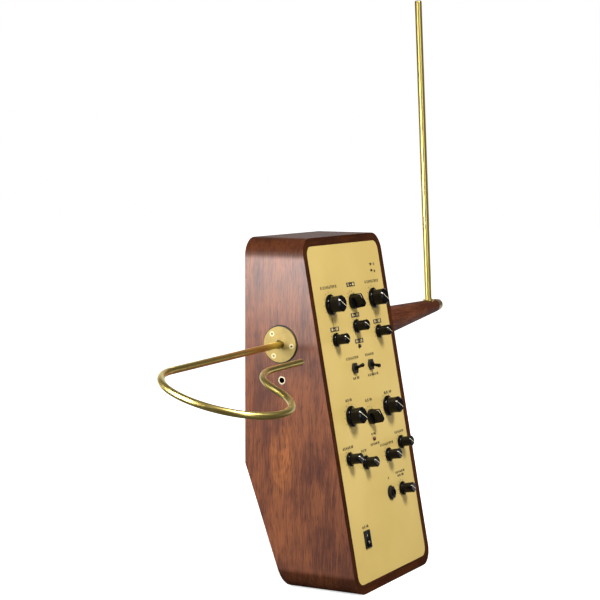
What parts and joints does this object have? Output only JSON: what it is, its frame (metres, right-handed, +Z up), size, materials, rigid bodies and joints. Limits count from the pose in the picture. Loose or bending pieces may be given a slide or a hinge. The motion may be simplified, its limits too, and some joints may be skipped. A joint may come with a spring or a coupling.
{
  "type": "theremin",
  "caption": "Theremin with a leaning brass-coloured control panel in a walnut cabinet, a brass volume loop on the left and a brass pitch rod on a turned wooden arm.",
  "frame": {"origin": "middle of the mouth of the stand thread, on the base's underside", "axes": "+X to the player's right, towards the pitch rod; -Y towards the player, where the panel faces; +Z up"},
  "size_m": [0.7743, 0.1904, 0.7239],
  "materials": {
    "walnut": "satin oiled",
    "panel_gold": "satin brass-coloured",
    "brass": "polished",
    "brass_screw": "polished",
    "plated_steel": "zinc plated",
    "black_steel": "black satin",
    "shaft_steel": "turned",
    "knob_black": "gloss black",
    "black_plastic": "black",
    "circuit_board": "green",
    "coil_copper": "enamelled wire",
    "lead_red": "insulated",
    "lamp_red": "dark red lens"
  },
  "bodies": {
    "body": {"cabinet": "walnut", "front_panel": "panel_gold", "panel_nuts": "plated_steel", "rear_panel": "black_steel", "machine_screws": "black_steel", "main_board": "circuit_board", "board_spacers": "brass", "antenna_coils": "coil_copper", "antenna_leads": "lead_red", "pot_bodies": "plated_steel", "rotary_switch_bodies": "black_plastic", "bushing_nuts": "plated_steel", "toggle_bodies": "black_plastic", "toggle_nuts": "black_steel", "power_switch_housing": "black_plastic", "jack_sockets": "black_plastic", "jack_nuts": "black_steel", "dc_inlet": "black_plastic", "status_leds": "lamp_red", "stand_flange": "plated_steel", "volume_flange": "brass", "flange_screws": "brass_screw", "side_eyelet": "brass", "pitch_arm": "walnut", "arm_bolt": "plated_steel", "arm_cap": "brass", "rod_bush": "brass"},
    "top_left_knob": {"top_left_knob": "knob_black", "top_left_shaft": "shaft_steel"},
    "top_right_knob": {"top_right_knob": "knob_black", "top_right_shaft": "shaft_steel"},
    "top_selector": {"top_selector": "knob_black", "top_selector_shaft": "shaft_steel"},
    "upper_left_knob": {"upper_left_knob": "knob_black", "upper_left_shaft": "shaft_steel"},
    "upper_middle_knob": {"upper_middle_knob": "knob_black", "upper_middle_shaft": "shaft_steel"},
    "upper_right_knob": {"upper_right_knob": "knob_black", "upper_right_shaft": "shaft_steel"},
    "middle_left_knob": {"middle_left_knob": "knob_black", "middle_left_shaft": "shaft_steel"},
    "middle_right_knob": {"middle_right_knob": "knob_black", "middle_right_shaft": "shaft_steel"},
    "middle_selector": {"middle_selector": "knob_black", "middle_selector_shaft": "shaft_steel"},
    "outer_left_knob": {"outer_left_knob": "knob_black", "outer_left_shaft": "shaft_steel"},
    "inner_left_knob": {"inner_left_knob": "knob_black", "inner_left_shaft": "shaft_steel"},
    "inner_right_knob": {"inner_right_knob": "knob_black", "inner_right_shaft": "shaft_steel"},
    "outer_right_knob": {"outer_right_knob": "knob_black", "outer_right_shaft": "shaft_steel"},
    "headphone_level_knob": {"headphone_level_knob": "knob_black", "headphone_level_shaft": "shaft_steel"},
    "left_toggle_lever": {"left_toggle_lever": "black_plastic"},
    "right_toggle_lever": {"right_toggle_lever": "black_plastic"},
    "power_rocker": {"power_rocker": "black_plastic"},
    "volume_loop": {"volume_loop": "brass"},
    "pitch_rod": {"pitch_rod": "brass"}
  },
  "joints": [
    {"name": "top_left_knob_turn", "type": "hinge", "parent": "body", "child": "top_left_knob", "pos_m": [-0.0569, 0.0033, 0.33811], "axis": [0, -0.9836, 0.1805], "range_deg": [-210, 90]},
    {"name": "top_right_knob_turn", "type": "hinge", "parent": "body", "child": "top_right_knob", "pos_m": [0.0599, 0.0033, 0.33811], "axis": [0, -0.9836, 0.1805], "range_deg": [-210, 90]},
    {"name": "top_selector_turn", "type": "hinge", "parent": "body", "child": "top_selector", "pos_m": [0.0015, 0.0033, 0.33811], "axis": [0, -0.9836, 0.1805], "range_deg": [-96, 24]},
    {"name": "upper_left_knob_turn", "type": "hinge", "parent": "body", "child": "upper_left_knob", "pos_m": [-0.0569, -0.00429, 0.2968], "axis": [0, -0.9836, 0.1805], "range_deg": [-210, 90]},
    {"name": "upper_middle_knob_turn", "type": "hinge", "parent": "body", "child": "upper_middle_knob", "pos_m": [0.0015, -0.00221, 0.30812], "axis": [0, -0.9836, 0.1805], "range_deg": [-210, 90]},
    {"name": "upper_right_knob_turn", "type": "hinge", "parent": "body", "child": "upper_right_knob", "pos_m": [0.0599, -0.00429, 0.2968], "axis": [0, -0.9836, 0.1805], "range_deg": [-210, 90]},
    {"name": "middle_left_knob_turn", "type": "hinge", "parent": "body", "child": "middle_left_knob", "pos_m": [-0.0495, -0.02107, 0.20533], "axis": [0, -0.9836, 0.1805], "range_deg": [-210, 90]},
    {"name": "middle_right_knob_turn", "type": "hinge", "parent": "body", "child": "middle_right_knob", "pos_m": [0.0525, -0.02107, 0.20533], "axis": [0, -0.9836, 0.1805], "range_deg": [-210, 90]},
    {"name": "middle_selector_turn", "type": "hinge", "parent": "body", "child": "middle_selector", "pos_m": [0.0015, -0.02234, 0.19845], "axis": [0, -0.9836, 0.1805], "range_deg": [-96, 24]},
    {"name": "outer_left_knob_turn", "type": "hinge", "parent": "body", "child": "outer_left_knob", "pos_m": [-0.07, -0.02983, 0.15763], "axis": [0, -0.9836, 0.1805], "range_deg": [-210, 90]},
    {"name": "inner_left_knob_turn", "type": "hinge", "parent": "body", "child": "inner_left_knob", "pos_m": [-0.0305, -0.03164, 0.14779], "axis": [0, -0.9836, 0.1805], "range_deg": [-210, 90]},
    {"name": "inner_right_knob_turn", "type": "hinge", "parent": "body", "child": "inner_right_knob", "pos_m": [0.0335, -0.03164, 0.14779], "axis": [0, -0.9836, 0.1805], "range_deg": [-210, 90]},
    {"name": "outer_right_knob_turn", "type": "hinge", "parent": "body", "child": "outer_right_knob", "pos_m": [0.073, -0.02983, 0.15763], "axis": [0, -0.9836, 0.1805], "range_deg": [-210, 90]},
    {"name": "headphone_level_knob_turn", "type": "hinge", "parent": "body", "child": "headphone_level_knob", "pos_m": [0.0565, -0.03994, 0.10255], "axis": [0, -0.9836, 0.1805], "range_deg": [-210, 90]},
    {"name": "left_toggle_tilt", "type": "hinge", "parent": "body", "child": "left_toggle_lever", "pos_m": [-0.0205, -0.00328, 0.25799], "axis": [1, 0, 0], "range_deg": [0, 30]},
    {"name": "right_toggle_tilt", "type": "hinge", "parent": "body", "child": "right_toggle_lever", "pos_m": [0.0235, -0.00328, 0.25799], "axis": [1, 0, 0], "range_deg": [-30, 0]},
    {"name": "power_rocker_tilt", "type": "hinge", "parent": "body", "child": "power_rocker", "pos_m": [-0.0569, -0.03572, 0.05907], "axis": [1, 0, 0], "range_deg": [0, 16]},
    {"name": "volume_loop_turn", "type": "hinge", "parent": "body", "child": "volume_loop", "pos_m": [-0.105, 0.0537, 0.292], "axis": [-0.9998, 0, -0.0192], "continuous": true},
    {"name": "pitch_rod_draw", "type": "slide", "parent": "body", "child": "pitch_rod", "axis": [0, 0.0471, 0.9989], "range_m": [0, 0.016]}
  ]
}
